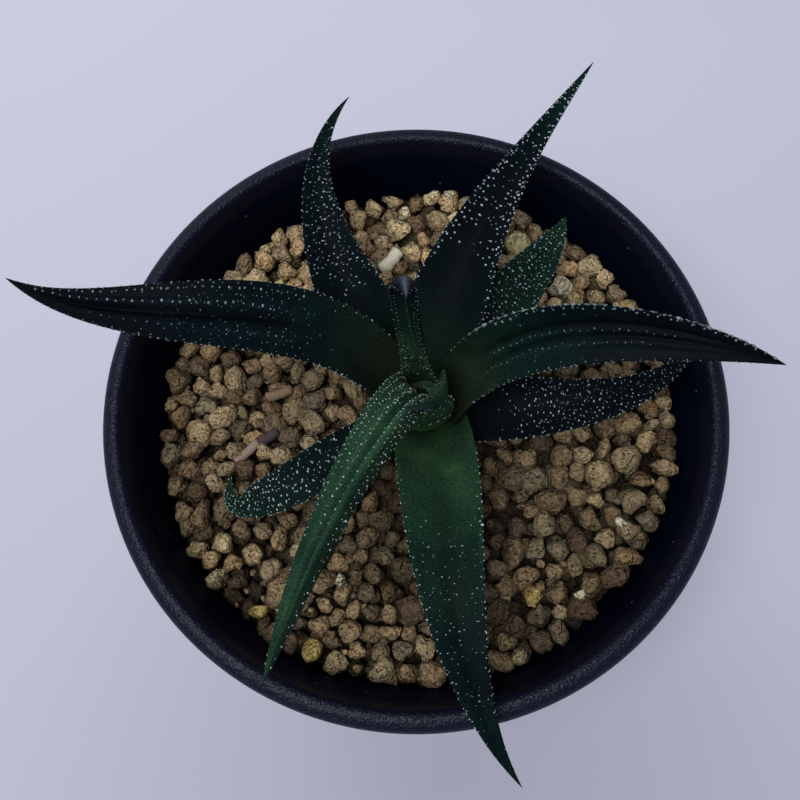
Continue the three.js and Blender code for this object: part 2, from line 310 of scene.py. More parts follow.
# %% Tools for materials
def new_material(name):
    """A material with a plain Principled BSDF, and its tree, shader and Object coordinates."""
    material = bpy.data.materials.new(name)
    material.use_nodes = True
    tree = material.node_tree
    place = add(tree, "ShaderNodeTexCoord", {}).outputs["Object"]
    return material, tree, tree.nodes["Principled BSDF"], place


def use_group(tree, group, vector, **values):
    """The output of a node group placed in a material, with its inputs fed."""
    return add(tree, "ShaderNodeGroup", {"Vector": vector, **values}, node_tree=group).outputs[0]


def bump(tree, height, strength, depth, **under):
    """The normal of a Bump node that is depth millimetres high, laid over another normal if given."""
    inputs = {"Height": height, "Strength": strength, "Distance": depth * MM, **under}
    return add(tree, "ShaderNodeBump", inputs).outputs["Normal"]


def attribute(tree, name, output="Fac"):
    """The socket that reads a value, or a Vector, kept at the mesh's points."""
    return add(tree, "ShaderNodeAttribute", {}, attribute_name=name).outputs[output]


def ramp(tree, factor, stops):
    """A colour ramp with stops of (place, colour), and its colour socket."""
    node = add(tree, "ShaderNodeValToRGB", {"Fac": factor})
    elements = node.color_ramp.elements
    while len(elements) < len(stops):
        elements.new(0.5)
    for element, (place, colour) in zip(elements, stops):
        element.position = place
        element.color = (*colour, 1.0)
    return node.outputs["Color"]


def axes(tree, place):
    """The X, Y and Z of a place."""
    return add(tree, "ShaderNodeSeparateXYZ", {"Vector": place}).outputs


print("tools: new_material, use_group, bump, attribute, ramp and axes")

# %% [markdown]
# The floor is a plain pale table top. Its faint lavender comes from the room's cool light as much
# as from its paint. Shade is painted into its colour: it darkens evenly towards the viewer, and a
# painted soft round shadow lies about the pot, so the colour is mixed by the distance along the
# table and by the distance from the pot.

# %% Floor finish
FLOOR_COLOUR = (0.74, 0.72, 0.80)
FLOOR_SHADED = (0.40, 0.395, 0.45)
FADE_LEAN = 0.12
FADE_FROM = 0.16
FADE_OVER = 0.50
SHADE_AT = (0.005, -0.075, 0.0)
SHADE_REACH = 0.11
SHADE_SOFTNESS = 2.2
POT_PAINTED_SHADOW = (0.26, 0.27, 0.34)
FLOOR_PATCHES = dict(Scale=3.0, Sharpness=2.0, First=(0.97, 0.97, 0.98), Second=(1.0, 1.0, 1.0))
floor_paint, tree, shader, place = new_material("pale_table")
sides = axes(tree, place)
# Painted shade: the colour darkens evenly towards the viewer and in a soft round shadow about the pot.
leaning = math_node(tree, "MULTIPLY_ADD", sides["X"], FADE_LEAN, sides["Y"])
shaded_towards_viewer = math_node(tree, "SUBTRACT", FADE_FROM, leaning)
shaded_towards_viewer = math_node(tree, "DIVIDE", shaded_towards_viewer, FADE_OVER, clamp=True)
tone = mixed(tree, shaded_towards_viewer, FLOOR_COLOUR, FLOOR_SHADED)
away = add(tree, "ShaderNodeVectorMath", {0: place, 1: SHADE_AT}, operation="DISTANCE").outputs["Value"]
shade = math_node(tree, "SUBTRACT", SHADE_REACH, away)
shade = math_node(tree, "DIVIDE", shade, SHADE_SOFTNESS * SHADE_REACH, clamp=True)
tone = mixed(tree, shade, tone, POT_PAINTED_SHADOW)
patches = use_group(tree, mottle, place, **FLOOR_PATCHES)
feed(tree, shader, {"Base Color": mixed(tree, 1.0, tone, patches, "MULTIPLY"), "Roughness": 0.7})
floor_mesh.materials.append(floor_paint)
print("floor finish:", floor_paint.name)

# %% [markdown]
# The pot is moulded black plastic. Its profile is turned about the pot's axis: a flat base, a wall
# that widens evenly, a short skirt and a rounded lip. The lip catches the only strong highlight in
# the picture, so its curve has many steps.

# %% Pot profile
POT_SIDES = 256
LIP_STEPS = 28
WALL_STEPS = 12
SOFT_EDGE = 0.6
SKIRT_EDGE = 0.5
BASE_EDGE = 1.0
WALL_FROM = 2.0
NEAR_AXIS = 0.02


def turned(profile, sides, middle=(0.0, 0.0)):
    """Rings from a profile of (radius, height) turned about a vertical axis."""
    radius, height = np.array(profile, float).T
    angle = np.linspace(0, 2 * np.pi, sides, endpoint=False)
    x = middle[0] + radius[:, None] * np.cos(angle)
    y = middle[1] + radius[:, None] * np.sin(angle)
    return np.stack([x, y, np.broadcast_to(height[:, None], x.shape)], -1)


def arc(middle, reach, start, end, steps):
    """Points on an ellipse's arc, from one angle in degrees to another."""
    angle = np.radians(np.linspace(start, end, steps))
    return [(middle[0] + reach[0] * math.cos(a), middle[1] + reach[1] * math.sin(a)) for a in angle]


def straight(start, end, steps):
    """Points on a straight stretch of a profile, both ends included."""
    share = np.linspace(0, 1, steps)
    return [tuple(np.array(start) * (1 - s) + np.array(end) * s) for s in share]


def wall_face(height):
    """Radius and height of a point on the wall's inner face."""
    return wall_radius(height) - WALL, height


skirt = POT_HEIGHT - LIP_SKIRT
skirt_foot = RIM_RADIUS - CLEARANCE
wall_top = wall_radius(skirt)
lip_middle = (RIM_RADIUS - LIP_OUTSIDE, POT_HEIGHT - LIP_ROUND)
inside_top = POT_HEIGHT - LIP_ROUND - 1
inside_foot = FLOOR_THICK + 1
pot_profile = (
    [(NEAR_AXIS, 0.0), (BASE_RADIUS - 2 * BASE_EDGE, 0.0)]
    + arc((BASE_RADIUS - BASE_EDGE, BASE_EDGE), (BASE_EDGE, BASE_EDGE), -90, 0, 6)
    + straight((wall_radius(WALL_FROM), WALL_FROM), (wall_top, skirt - SOFT_EDGE), WALL_STEPS)
    + arc((wall_top + SOFT_EDGE, skirt - SOFT_EDGE), (SOFT_EDGE, SOFT_EDGE), 180, 90, 5)
    + arc((skirt_foot - SKIRT_EDGE, skirt + SKIRT_EDGE), (SKIRT_EDGE, SKIRT_EDGE), -90, 0, 5)
    + straight((skirt_foot + 0.02, skirt + 0.8), (RIM_RADIUS, POT_HEIGHT - LIP_ROUND - 0.05), 4)
    + arc(lip_middle, (LIP_OUTSIDE, LIP_ROUND), 0, 90, LIP_STEPS)
    + arc(lip_middle, (LIP_INSIDE, LIP_ROUND), 93, 180, LIP_STEPS // 2)
    + straight(wall_face(inside_top), wall_face(inside_foot), WALL_STEPS)
    + [(wall_radius(FLOOR_THICK) - WALL - 1, FLOOR_THICK), (NEAR_AXIS, FLOOR_THICK)]
)
print("the pot's profile has", len(pot_profile), "points")

# %% [markdown]
# The plastic is nearly black, with a breath of blue from the room and a few specks of dust. Only
# the lip has a thin coat of gloss: handling has polished it, and the wall below is dull. The lip's
# colour is also a lighter blue, a painted bluish sheen. Fine and coarse grain break the highlight
# up.

# %% Pot finish
POT_DARK = (0.0008, 0.0024, 0.0085)
POT_BLUE = (0.0018, 0.0036, 0.0115)
# The lip's lighter blue is a painted sheen.
POT_LIP_PAINTED_SHEEN = (0.0028, 0.0040, 0.0130)
DUST = (0.10, 0.11, 0.13)
DUST_SPACING = 260.0
DUST_SIZE = 0.055
LIP_FADE = 2.0
LIP_GLOSS = 0.42
pot_plastic, tree, shader, place = new_material("pot_plastic")
specks = add(tree, "ShaderNodeTexVoronoi", {"Vector": place, "Scale": DUST_SPACING})
is_dust = math_node(tree, "LESS_THAN", specks.outputs["Distance"], DUST_SIZE)
patches = use_group(tree, mottle, place, Scale=45.0, Sharpness=3.0, First=POT_DARK, Second=POT_BLUE)
dusty = mixed(tree, is_dust, patches, DUST)
# The lip mask gives the lip its coat of gloss and its lighter colour, a painted bluish sheen.
on_lip = math_node(tree, "SUBTRACT", axes(tree, place)["Z"], (POT_HEIGHT - LIP_ROUND - LIP_FADE) * MM)
on_lip = math_node(tree, "MULTIPLY", on_lip, 1 / (LIP_FADE * MM), clamp=True)
fine = use_group(tree, grain, place, Scale=2300.0, Detail=2.0)
coarse = use_group(tree, grain, place, Scale=420.0, Detail=3.0)
soft = bump(tree, coarse, 0.35, 0.25)
feed(tree, shader, {
    "Base Color": mixed(tree, on_lip, dusty, POT_LIP_PAINTED_SHEEN),
    "Roughness": math_node(tree, "MULTIPLY_ADD", fine, 0.5, 0.16, clamp=True),
    "Normal": bump(tree, fine, 1.0, 0.22, Normal=soft),
    "Specular IOR Level": 0.02,
    "Coat Weight": math_node(tree, "MULTIPLY", on_lip, LIP_GLOSS),
    "Coat Roughness": 0.34,
    "Coat Tint": (0.66, 0.76, 1.0),
    "Coat Normal": bump(tree, fine, 1.0, 0.26, Normal=soft),
})
print("pot finish:", pot_plastic.name)

# %% [markdown]
# Water leaves through six round holes in the pot's floor. They are cut with a Boolean modifier,
# and its result becomes the pot's own mesh, so that no helper object stays behind.

# %% Pot with its drainage holes
pot = piece("pot_wall", closed_skin(turned(pot_profile, POT_SIDES)), [pot_plastic])


def drill(middle):
    """A plain round rod that stands through the pot's floor."""
    rod_profile = straight((DRAIN_RADIUS, -3.0), (DRAIN_RADIUS, 3 * FLOOR_THICK), 2)
    return closed_skin(turned(rod_profile, 40, middle))


hole_angles = 2 * np.pi * np.arange(DRAIN_HOLES) / DRAIN_HOLES
hole_middles = DRAIN_CIRCLE * np.stack([np.cos(hole_angles), np.sin(hole_angles)], -1)
drills = piece("drills", joined([drill(middle) for middle in hole_middles]), [pot_plastic])
cut = pot.modifiers.new("drainage", "BOOLEAN")
cut.operation = "DIFFERENCE"
cut.solver = "EXACT"
cut.object = drills
bpy.context.view_layer.update()
drilled = bpy.data.meshes.new_from_object(pot.evaluated_get(bpy.context.evaluated_depsgraph_get()))
pot.modifiers.clear()
pot.data = drilled
pot.data.name = "pot_wall"
bpy.data.objects.remove(drills)
pot.data.set_sharp_from_angle(angle=math.radians(50))
seat(pot, "pot_plastic", "pot")

# %% [markdown]
# The gravel is porous and light, broken into lumps of 3 to 6 mm and tumbled until its corners
# are round. A grain is a sphere whose radius in each direction is set by nine flat faces at
# random distances, blended so that the faces meet in soft edges. All the grains are made at once.

# %% Gravel shapes
PLANES = 9
PLANES_OUT = (0.64, 1.0)
SOFTNESS = 26.0
FURTHEST = 1.25
LUMPS = ((4.0, 0.06), (8.0, 0.045), (13.0, 0.03))
SQUASH = (0.74, 1.12)
PUSH = 0.4
TOUCHING = 0.8
CLEAR_OF_STEM = 6.2
UPPER_GRAINS = 490
LOWER_GRAINS = 430
SMALL_GRAINS = 240
UPPER_SMALLEST = 1.45
UPPER_SPREAD = 1.25
LOWER_RADII = (1.5, 2.3)
SMALL_RADII = (0.5, 1.05)


def unit(vectors):
    """Vectors scaled to length one."""
    return vectors / np.linalg.norm(vectors, axis=-1, keepdims=True)


def unit_rows(random, *shape):
    """Random directions, evenly spread over the sphere."""
    return unit(random.normal(size=(*shape, 3)))


def grain_rings(random, radius, ring_count, side_count):
    """Rings of points for one rounded lump a radius, about the origin.

    Reach in direction u is the soft minimum, over random planes, of the distance to the plane
    along u. It is multiplied by waves of three lengths in random directions, for lumpy faces."""
    count = len(radius)
    tilt = np.pi * (np.arange(ring_count)[:, None] + 0.6) / (ring_count + 0.2)
    turn = 2 * np.pi * np.arange(side_count) / side_count
    xyz = np.sin(tilt) * np.cos(turn), np.sin(tilt) * np.sin(turn), -np.cos(tilt)
    u = np.stack(np.broadcast_arrays(*xyz), -1)
    normals = unit_rows(random, count, PLANES)
    distances = random.uniform(*PLANES_OUT, (count, PLANES))
    facing = np.einsum("rsx,gpx->grsp", u, normals).clip(0.02, None) / distances[:, None, None]
    reach = (facing**SOFTNESS).sum(-1) ** (-1 / SOFTNESS)
    reach = np.minimum(reach, FURTHEST)
    for quickness, depth in LUMPS:
        for _ in range(2):
            phase = random.uniform(0, 2 * np.pi, count)[:, None, None]
            along_wave = np.einsum("rsx,gx->grs", u, unit_rows(random, count))
            reach = reach * (1 + depth * np.sin(quickness * along_wave + phase))
    squash = random.uniform(*SQUASH, (count, 1, 1, 3))
    local = u[None] * (reach * radius[:, None, None])[..., None] * squash
    axis_a = unit_rows(random, count)
    axis_b = unit(np.cross(axis_a, unit_rows(random, count)))
    turn_to = np.stack([axis_a, axis_b, np.cross(axis_a, axis_b)], -1)
    return np.einsum("grsx,gyx->grsy", local, turn_to)


def settle(random, radius, edge, rounds=90):
    """Places in plan for circles of the given radii in a round bed, pushed apart until they
    hardly overlap. Each round moves both of a close pair by a share of their overlap, and keeps
    all of them inside the edge and clear of the stem."""
    count = len(radius)
    angle = random.uniform(0, 2 * np.pi, count)
    places = (edge * np.sqrt(random.uniform(0.02, 1, count)))[:, None]
    places = places * np.stack([np.cos(angle), np.sin(angle)], -1)
    apart = radius[:, None] + radius[None]
    for _ in range(rounds):
        between = places[:, None] - places[None]
        distance = np.linalg.norm(between, axis=-1) + np.eye(count) * 1e3
        overlap = np.clip(apart - distance, 0, None)
        places = places + PUSH * (between / distance[..., None] * overlap[..., None]).sum(1)
        from_middle = np.linalg.norm(places, axis=-1)
        places *= np.minimum(1, (edge - TOUCHING * radius) / from_middle)[:, None]
        from_stem = places - STEM_AXIS
        gap = np.linalg.norm(from_stem, axis=-1)
        pushed = from_stem / gap[:, None] * (CLEAR_OF_STEM + radius)[:, None]
        places = np.where((gap < CLEAR_OF_STEM + radius)[:, None], STEM_AXIS + pushed, places)
    return places


def bed_edge(height):
    """Radius of the gravel at a height, a little inside the pot's wall."""
    return wall_radius(height) - WALL - CLEARANCE


random = np.random.default_rng(11)
inside_bed = bed_edge(BED)
upper_radius = UPPER_SMALLEST + UPPER_SPREAD * random.beta(1.5, 2.2, UPPER_GRAINS)
upper_place = settle(random, 0.96 * upper_radius, inside_bed)
lower_radius = random.uniform(*LOWER_RADII, LOWER_GRAINS)
lower_place = settle(random, 0.98 * lower_radius, inside_bed)
small_radius = random.uniform(*SMALL_RADII, SMALL_GRAINS)
small_place = settle(random, 2.2 * small_radius, inside_bed)
print("grains 3 to 6 mm:", UPPER_GRAINS, "above,", LOWER_GRAINS, "below, and", SMALL_GRAINS, "small ones")

# %% [markdown]
# Each grain has a tint between dark brown and ochre. Light and shade are painted over it: grains
# at the back are paler, as painted light, those in front of the stem are darker, in a painted
# shadow of the leaves, those to the right a little darker, and each has painted shade on its
# underside. A few are of pale or yellow pumice, and lie where the photograph has them.

# %% Gravel tints and heights
PALE_GRAINS = np.array([[28.0, 24.3]])
PALE_CRUMBS = np.array([[6.3, 44.0], [-11.8, -30.3], [28.1, -29.8], [33.9, -19.2]])
YELLOW_GRAINS = np.array([[21.5, -32.2], [-16.6, -40.1], [-27.0, -36.1]])
GRAIN_DARK = np.array([0.126, 0.082, 0.053])
GRAIN_OCHRE = np.array([0.606, 0.464, 0.270])
GRAIN_PALE = np.array([0.80, 0.74, 0.55])
GRAIN_YELLOW = np.array([0.56, 0.42, 0.16])
# Painted light towards the back, painted shade towards the right, and a painted shadow of the leaves in
# front of the stem.
BACK_FROM = 12.0
BACK_OVER = 20.0
BACK_PAINTED_LIGHT = 0.95
RIGHT_PAINTED_SHADE = 0.002
LEAF_SHADOW_AT = (2.0, -17.0)
LEAF_SHADOW_REACH = 17.0
LEAF_SHADOW_DARK = 0.8
# Painted shade on the lower grains, seen between the upper ones.
LOWER_PAINTED_SHADE = 0.3
EDGE_RISE = 1.3
RIGHT_RISE = 3.2
LOWER_SINK = 1.7
UPPER_UNEVEN = (-0.6, 1.2)
LOWER_UNEVEN = (-0.4, 0.4)
SMALL_UNEVEN = (-0.3, 1.2)
CRUMB_RADIUS = 1.1
CRUMB_LIFT = 1.8


def nearest(places, wanted):
    """Number of the place nearest to each wanted one."""
    return np.linalg.norm(places[None] - wanted[:, None], axis=-1).argmin(1)


def tints_for(random, count):
    """One tint a grain: a share of the way from dark to ochre, and a little redder or greyer."""
    share = random.beta(1.6, 1.8, count)[:, None]
    tint = GRAIN_DARK + (GRAIN_OCHRE - GRAIN_DARK) * share
    warmth = random.normal(0, 0.035, count)[:, None]
    return tint * (1 + warmth * np.array([1.0, -0.2, -1.2]))


def rise(places):
    """How much higher the bed stands at each place: a fourth power of the distance out, and a
    square of the distance to the right, where the grains are heaped."""
    out = np.linalg.norm(places, axis=-1) / inside_bed
    right = np.clip(places[:, 0] / inside_bed, 0, 1)
    return EDGE_RISE * out**4 + RIGHT_RISE * right**2


def painted_light_and_shade(places):
    """Factor on the tints, which paints light and shade on the bed: it grows evenly towards the back,
    as painted light, and falls a little towards the right, as painted shade. A bell curve of the
    distance from a place in front of the stem makes those round it darker, a painted shadow of the
    leaves."""
    back = np.clip((places[:, 1] - BACK_FROM) / BACK_OVER, 0, 1)
    leaf_shadow = LEAF_SHADOW_DARK * np.exp(-((np.linalg.norm(places - LEAF_SHADOW_AT, axis=-1) / LEAF_SHADOW_REACH) ** 2))
    return ((1 + BACK_PAINTED_LIGHT * back - RIGHT_PAINTED_SHADE * places[:, 0]) * (1 - leaf_shadow))[:, None]


upper_height = BED + 0.1 * upper_radius + random.uniform(*UPPER_UNEVEN, UPPER_GRAINS) + rise(upper_place)
lower_height = BED - LOWER_SINK + random.uniform(*LOWER_UNEVEN, LOWER_GRAINS) + rise(lower_place)
small_height = BED + 0.1 + random.uniform(*SMALL_UNEVEN, SMALL_GRAINS) + rise(small_place)
# The upper and small grains get painted light and shade by their places.
upper_tint = tints_for(random, UPPER_GRAINS) * painted_light_and_shade(upper_place)
upper_tint[nearest(upper_place, PALE_GRAINS)] = GRAIN_PALE
upper_tint[nearest(upper_place, YELLOW_GRAINS)] = GRAIN_YELLOW
# The lower grains are painted darker, as shade in the gaps between the upper grains.
lower_shaded_tint = LOWER_PAINTED_SHADE * tints_for(random, LOWER_GRAINS)
small_tint = tints_for(random, SMALL_GRAINS) * painted_light_and_shade(small_place)
crumbs = nearest(small_place, PALE_CRUMBS)
small_tint[crumbs] = GRAIN_PALE
small_radius[crumbs] = CRUMB_RADIUS
small_height[crumbs] += CRUMB_LIFT
print("mean tint of the upper grains:", upper_tint.mean(0).round(3))

# %% Gravel bed
CORE_BELOW = 2.5
# Painted shade on the underside of each grain.
UNDER_SHADE = 0.62
core_top = BED - CORE_BELOW


def point_tints(points, tint, height, radius):
    """The tint of each grain at its points, with painted shade that darkens it from its top down to its
    underside.
    """
    each = len(points) // len(tint)
    above = (points[:, 2] - np.repeat(height, each)) / np.repeat(radius, each)
    light = np.clip(0.35 + 0.75 * above, 0, 1)[:, None]
    return np.minimum(np.repeat(tint, each, 0), 0.9) * (1 - UNDER_SHADE * (1 - light))


core_foot = FLOOR_THICK + CLEARANCE
core_profile = (
    [(NEAR_AXIS, core_foot), (bed_edge(FLOOR_THICK) - CLEARANCE, core_foot)]
    + straight((bed_edge(inside_foot), inside_foot), (bed_edge(core_top), core_top), 8)
    + [(6.0, core_top), (NEAR_AXIS, core_top)]
)
skins = [closed_skin(turned(core_profile, 96))]
# The core is painted at half the darkest tint, as shade in the gaps between the grains.
tints = [np.repeat(0.5 * GRAIN_DARK[None], len(skins[0][0]), 0)]
for radius, middles, height, tint, ring_count, side_count in (
    (upper_radius, upper_place, upper_height, upper_tint, 8, 12),
    (lower_radius, lower_place, lower_height, lower_shaded_tint, 5, 9),
    (small_radius, small_place, small_height, small_tint, 5, 7),
):
    at = np.concatenate([middles, height[:, None]], -1)
    skin = closed_skin(grain_rings(random, radius, ring_count, side_count) + at[:, None, None])
    skins.append(skin)
    tints.append(point_tints(skin[0], tint, height, radius))
print("the bed has", sum(len(skin[0]) for skin in skins), "points")

# %% Gravel finish
STONE_PATCHES = dict(Scale=1500.0, Sharpness=4.0, First=(0.72, 0.65, 0.56), Second=(1.18, 1.16, 1.06))
# The pits are darkened: painted shade in the pores.
PORE_PAINTED_SHADE = [(0.02, (0.34, 0.26, 0.20)), (0.22, (1.0, 1.0, 1.0))]
gravel_stone, tree, shader, place = new_material("gravel")
patches = use_group(tree, mottle, place, **STONE_PATCHES)
coloured = mixed(tree, 1.0, attribute(tree, "tint", "Vector"), patches, "MULTIPLY")
pitted = use_group(tree, pores, place, Scale=1200.0, Depth=0.8)
rough_lumps = bump(tree, use_group(tree, grain, place, Scale=800.0, Detail=6.0), 1.0, 2.6)
feed(tree, shader, {
    "Base Color": mixed(tree, 1.0, coloured, ramp(tree, pitted, PORE_PAINTED_SHADE), "MULTIPLY"),
    "Normal": bump(tree, pitted, 1.0, 0.5, Normal=rough_lumps),
    "Roughness": 0.95,
    "Specular IOR Level": 0.2,
})
gravel = piece("gravel_grains", joined(skins), [gravel_stone], tint=np.concatenate(tints))
seat(gravel, "gravel", "gravel_fill")

# %% [markdown]
# A few bits of twig and one cream fragment came with the gravel. Each is a short bent rod with
# blunt ends, given by where it starts and ends in plan, its radius and its tint.

# %% Twigs
TWIGS = [
    ((-27.6, 3.6), (-22.6, 5.4), 0.95, (0.24, 0.16, 0.09)),
    ((-32.5, -8.6), (-28.4, -4.6), 0.9, (0.30, 0.22, 0.17)),
    ((-28.6, -5.0), (-24.9, -2.6), 1.0, (0.060, 0.035, 0.036)),
    ((-6.4, 29.4), (-3.0, 33.9), 1.35, (0.86, 0.80, 0.60)),
]
TWIG_RINGS = 14
TWIG_SIDES = 12
TWIG_BEND = 0.3
TWIG_HEIGHT = BED + 1.7
STREAK_TONES = [(0.0, (0.80, 0.78, 0.76)), (1.0, (1.08, 1.08, 1.08))]


def rod(start, end, radius):
    """Rings of a round rod with blunt ends, bowed sideways by half a sine wave."""
    start, end = np.array([*start, TWIG_HEIGHT]), np.array([*end, TWIG_HEIGHT])
    share = np.linspace(0, 1, TWIG_RINGS)[:, None]
    way = unit(end - start)
    out = unit(np.cross(way, [0, 0, 1.0]))
    up = np.cross(out, way)
    line = start * (1 - share) + end * share + out * TWIG_BEND * np.sin(np.pi * share)
    size = radius * np.minimum(1, (20 * share * (1 - share)) ** 0.5 + 0.25)[..., None]
    angle = np.linspace(0, 2 * np.pi, TWIG_SIDES, endpoint=False)[None, :, None]
    uneven = 1 + 0.15 * np.sin(2 * angle + 11 * share[:, None]) * np.cos(7 * share[:, None])
    return line[:, None] + size * uneven * (np.cos(angle) * up - np.sin(angle) * out)


twig_rings = [rod(start, end, radius) for start, end, radius, _ in TWIGS]
twig_skin = closed_skin(np.stack(twig_rings))
twig_tint = np.repeat(np.array([tint for *_, tint in TWIGS]), len(twig_skin[0]) // len(TWIGS), 0)
twig_bark, tree, shader, place = new_material("twig_bark")
fibres = add(tree, "ShaderNodeTexWave", {"Vector": place, "Scale": 900.0, "Distortion": 6.0}).outputs["Fac"]
streaks = ramp(tree, fibres, STREAK_TONES)
feed(tree, shader, {
    "Base Color": mixed(tree, 1.0, attribute(tree, "tint", "Vector"), streaks, "MULTIPLY"),
    "Normal": bump(tree, fibres, 0.25, 0.10),
    "Roughness": 0.85,
})
seat(piece("twigs", twig_skin, [twig_bark], tint=twig_tint), "gravel")

# %% [markdown]
# The stem is a short stump. What little of it shows between the lowest leaves and the gravel is
# ringed by the scars of leaves that have dropped.

# %% Stem
STEM_RINGS = 60
STEM_SIDES = 64
SCAR_SPACING = 2.1
SCAR_DEPTH = 0.35
STEM_PATCHES = dict(Scale=300.0, Sharpness=3.0, First=(0.010, 0.028, 0.010), Second=(0.022, 0.058, 0.022))


def stem_rings():
    """A round stump whose radius dips at each scar and draws in at both ends."""
    share = np.linspace(0, 1, STEM_RINGS)
    bottom, top = BED - STEM_BURIED, POT_HEIGHT + STEM_TOP_ABOVE_RIM
    height = bottom + (top - bottom) * share
    ends = np.clip(np.minimum(share, 1 - share) * 9, 0, 1) ** 0.5
    radius = (STEM_RADIUS - CLEARANCE) * (0.7 + 0.3 * ends)
    scars = SCAR_DEPTH * (0.5 + 0.5 * np.cos(2 * np.pi * height / SCAR_SPACING)) ** 3
    return turned(np.stack([radius - scars, height], -1), STEM_SIDES, STEM_AXIS)


stem_bark, tree, shader, place = new_material("stem_tissue")
feed(tree, shader, {
    "Base Color": use_group(tree, mottle, place, **STEM_PATCHES),
    "Normal": bump(tree, use_group(tree, grain, place, Scale=1100.0, Detail=4.0), 0.6, 0.3),
    "Roughness": 0.8,
})
seat(piece("stem_stump", closed_skin(stem_rings()), [stem_bark]), "stem_tissue", "stem")

# %% [markdown]
# A leaf is a path through space with a section carried along it. The path, the width, the depth of
# the channel and the colour are short lists from base to tip, blended smoothly. The upper face is
# a trough, the lower one a rounded keel, and they meet in a rounded margin.
# Relief lists ridges and grooves as (place across, width, height in mm, from, to). A place across
# runs from -1 to 1, and from and to are shares of the length. Rows lists rows of tubercles as
# (place across, radius, spacing, from, to), edge_rows the same with the angle round the section
# first, and dots scatters more as (from, to, spacing, radius, share kept).

# %% Leaf lists
FACING_LEAN = 0.5
THINNING = 0.4
THICKEST = 0.65
KEEL_SPREAD = 2.5
KEEL_ROUND = 0.6
MARGIN_ROUND = 0.45


def leaf_lists(node, **own):
    """One leaf's lists: its own, and for the rest the values that most leaves share."""
    form = {"channel": [0.4, 0.3, 0.3], "roll": [0, 0], "thick": 3.4, "relief": [(0, 0.3, -0.12, 0.2, 0.9)]}
    dotted = {"margin": 0.19, "rows": [], "edge_rows": []}
    banded = {"banded_from": 0.16, "banded_to": 0.96, "band_size": 1}
    finish = {"brown": 0.1, "stripe": 0, "bloom": 0, "flank": 0}
    return {"node": node, **form, **dotted, **banded, **finish, **own}


def both(*lists):
    """Rows or ridges on both sides of the leaf's middle."""
    return [(side * across, *rest) for across, *rest in lists for side in (1, -1)]


